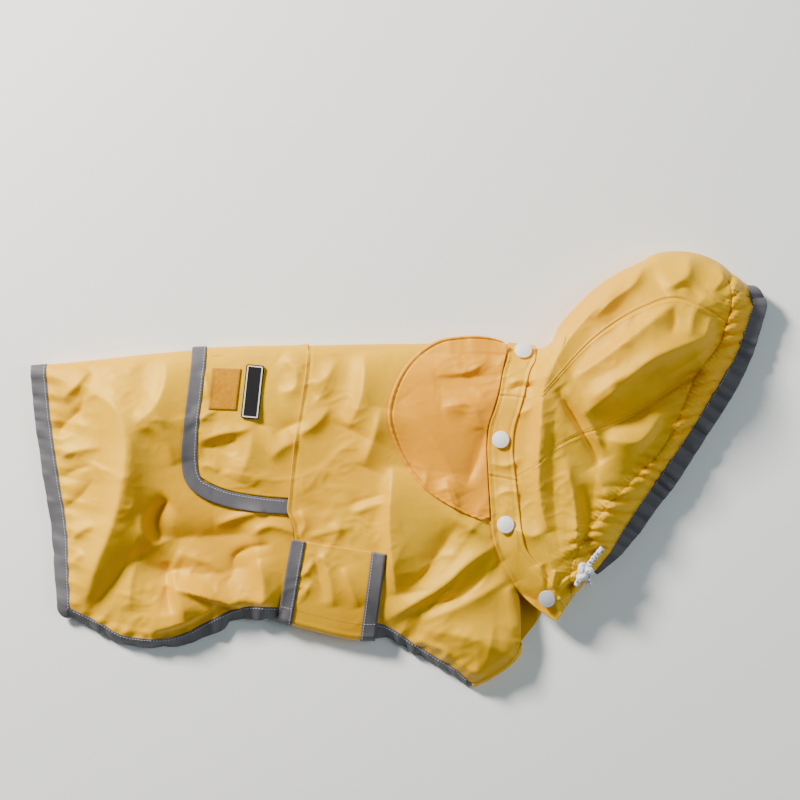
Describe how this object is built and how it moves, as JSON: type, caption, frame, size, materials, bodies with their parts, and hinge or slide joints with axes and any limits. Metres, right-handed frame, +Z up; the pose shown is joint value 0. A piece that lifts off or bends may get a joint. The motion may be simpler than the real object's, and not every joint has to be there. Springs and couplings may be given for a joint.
{
  "type": "dog raincoat laid flat",
  "caption": "Yellow dog raincoat laid flat on its side: hood with snaps and a drawcord, grey bindings, a bound pocket flap, a leash flap and a belly strap.",
  "frame": {"origin": "middle of the coat's footprint, on the surface it lies on", "axes": "+X from the rear hem to the hood's front, +Y from the belly to the back's fold, +Z up from the surface"},
  "size_m": [0.5902, 0.3524, 0.0544],
  "materials": {
    "yellow_nylon": "coated plain-weave nylon, slight sheen",
    "orange_nylon": "coated plain-weave nylon, slight sheen",
    "grey_binding": "reflective grey binding tape, satin",
    "velcro_patch": "napped loop tape, matte",
    "label_rubber": "moulded rubber, matte, with a cream raised border",
    "snap_cap": "white enamelled cap, satin gloss",
    "cord": "braided cord, white with dark flecks, matte"
  },
  "bodies": {
    "root": {"body_rear": "yellow_nylon", "body_front": "yellow_nylon", "chest": "yellow_nylon", "rear_hem_binding": "grey_binding", "flank_binding_near": "grey_binding", "flank_binding_far": "grey_binding", "leg_binding_near": "grey_binding", "leg_binding_far": "grey_binding", "pocket_flap": "yellow_nylon", "pocket_flap_binding": "grey_binding", "velcro_patch": "velcro_patch", "label": "label_rubber", "leash_flap": "orange_nylon", "strap": "yellow_nylon", "strap_binding_rear": "grey_binding", "strap_binding_front": "grey_binding", "neck_band": "yellow_nylon", "snap_1": "snap_cap", "snap_2": "snap_cap", "snap_3": "snap_cap", "snap_4": "snap_cap", "hood_side_near": "yellow_nylon", "hood_centre": "yellow_nylon", "hood_side_far": "yellow_nylon", "hood_casing": "yellow_nylon", "hood_binding": "grey_binding", "drawcord": "cord", "cord_knot": "cord", "cord_tail_1": "cord", "cord_tail_2": "cord"}
  },
  "joints": []
}
